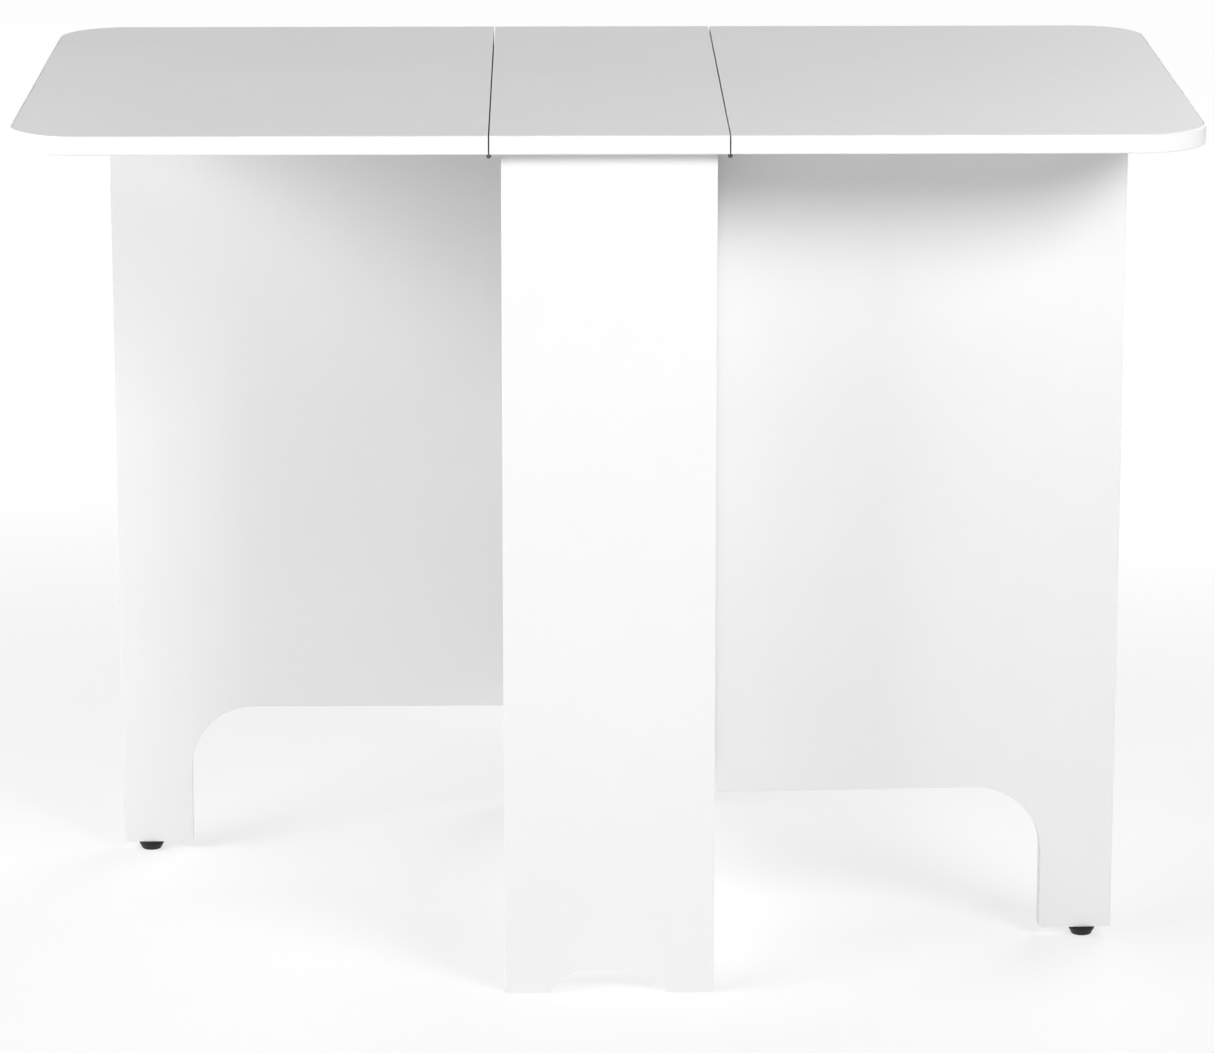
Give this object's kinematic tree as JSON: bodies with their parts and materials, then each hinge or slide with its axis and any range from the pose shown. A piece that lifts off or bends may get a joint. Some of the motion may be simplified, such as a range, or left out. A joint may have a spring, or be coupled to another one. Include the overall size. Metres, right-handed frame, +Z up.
{
  "type": "gateleg table",
  "caption": "Drop-leaf table: a narrow centre on two end panels and two rounded leaves, each held up by a panel gate that swings out on a piano hinge.",
  "frame": {"origin": "on the floor, under the middle of the open table top", "axes": "+X along the open top towards the right leaf, -Y towards the front end panel, +Z up"},
  "size_m": [1, 0.6, 0.75],
  "materials": {
    "white_laminate": "satin",
    "edge_band": "satin",
    "hinge_steel": "satin",
    "pin_steel": "satin",
    "zinc_steel": "satin",
    "black_plastic": "matte",
    "white_plastic": "matte"
  },
  "bodies": {
    "frame": {"bolt_hinge_board_left_lower": "zinc_steel", "bolt_hinge_board_left_upper": "zinc_steel", "bolt_hinge_board_right_lower": "zinc_steel", "bolt_hinge_board_right_upper": "zinc_steel", "bolt_rail_back": "zinc_steel", "bolt_rail_front": "zinc_steel", "bolt_shelf_back_left": "zinc_steel", "bolt_shelf_back_right": "zinc_steel", "bolt_shelf_front_left": "zinc_steel", "bolt_shelf_front_right": "zinc_steel", "bracket_back_left": "zinc_steel", "bracket_back_right": "zinc_steel", "bracket_front_left": "zinc_steel", "bracket_front_right": "zinc_steel", "cam_hinge_board_left_lower": "zinc_steel", "cam_hinge_board_left_upper": "zinc_steel", "cam_hinge_board_right_lower": "zinc_steel", "cam_hinge_board_right_upper": "zinc_steel", "cam_rail_back": "zinc_steel", "cam_rail_front": "zinc_steel", "cam_shelf_back_left": "zinc_steel", "cam_shelf_back_right": "zinc_steel", "cam_shelf_front_left": "zinc_steel", "cam_shelf_front_right": "zinc_steel", "centre_top": "white_laminate", "centre_top_band_back": "edge_band", "centre_top_band_front": "edge_band", "end_panel_back": "white_laminate", "end_panel_front": "white_laminate", "hinge_board_left": "white_laminate", "hinge_board_right": "white_laminate", "left_gate_hinge_fixed_plate": "hinge_steel", "left_gate_hinge_pin": "pin_steel", "left_leaf_hinge_fixed_plate": "hinge_steel", "left_leaf_hinge_pin": "pin_steel", "lower_shelf": "white_laminate", "right_gate_hinge_fixed_plate": "hinge_steel", "right_gate_hinge_pin": "pin_steel", "right_leaf_hinge_fixed_plate": "hinge_steel", "right_leaf_hinge_pin": "pin_steel", "upper_rail": "white_laminate"},
    "left_leaf": {"left_leaf": "white_laminate", "left_leaf_band": "edge_band", "left_leaf_hinge_moving_plate": "hinge_steel", "left_leaf_pad": "white_plastic"},
    "right_leaf": {"right_leaf": "white_laminate", "right_leaf_band": "edge_band", "right_leaf_hinge_moving_plate": "hinge_steel", "right_leaf_pad": "white_plastic"},
    "left_gate": {"left_gate": "white_laminate", "left_gate_foot": "black_plastic", "left_gate_hinge_moving_plate": "hinge_steel"},
    "right_gate": {"right_gate": "white_laminate", "right_gate_foot": "black_plastic", "right_gate_hinge_moving_plate": "hinge_steel"}
  },
  "joints": [
    {"name": "right_gate_swing", "type": "hinge", "parent": "frame", "child": "right_gate", "pos_m": [0.0915, -0.15, 0], "axis": [0, 0, 1], "range_deg": [-2.8, 87.2]},
    {"name": "left_gate_swing", "type": "hinge", "parent": "frame", "child": "left_gate", "pos_m": [-0.0915, 0.15, 0], "axis": [0, 0, 1], "range_deg": [0, 90]},
    {"name": "right_leaf_lift", "type": "hinge", "parent": "frame", "child": "right_leaf", "pos_m": [0.1, 0, 0.732], "axis": [0, -1, 0], "range_deg": [0, 3]},
    {"name": "left_leaf_lift", "type": "hinge", "parent": "frame", "child": "left_leaf", "pos_m": [-0.1, 0, 0.732], "axis": [0, 1, 0], "range_deg": [0, 3]}
  ]
}
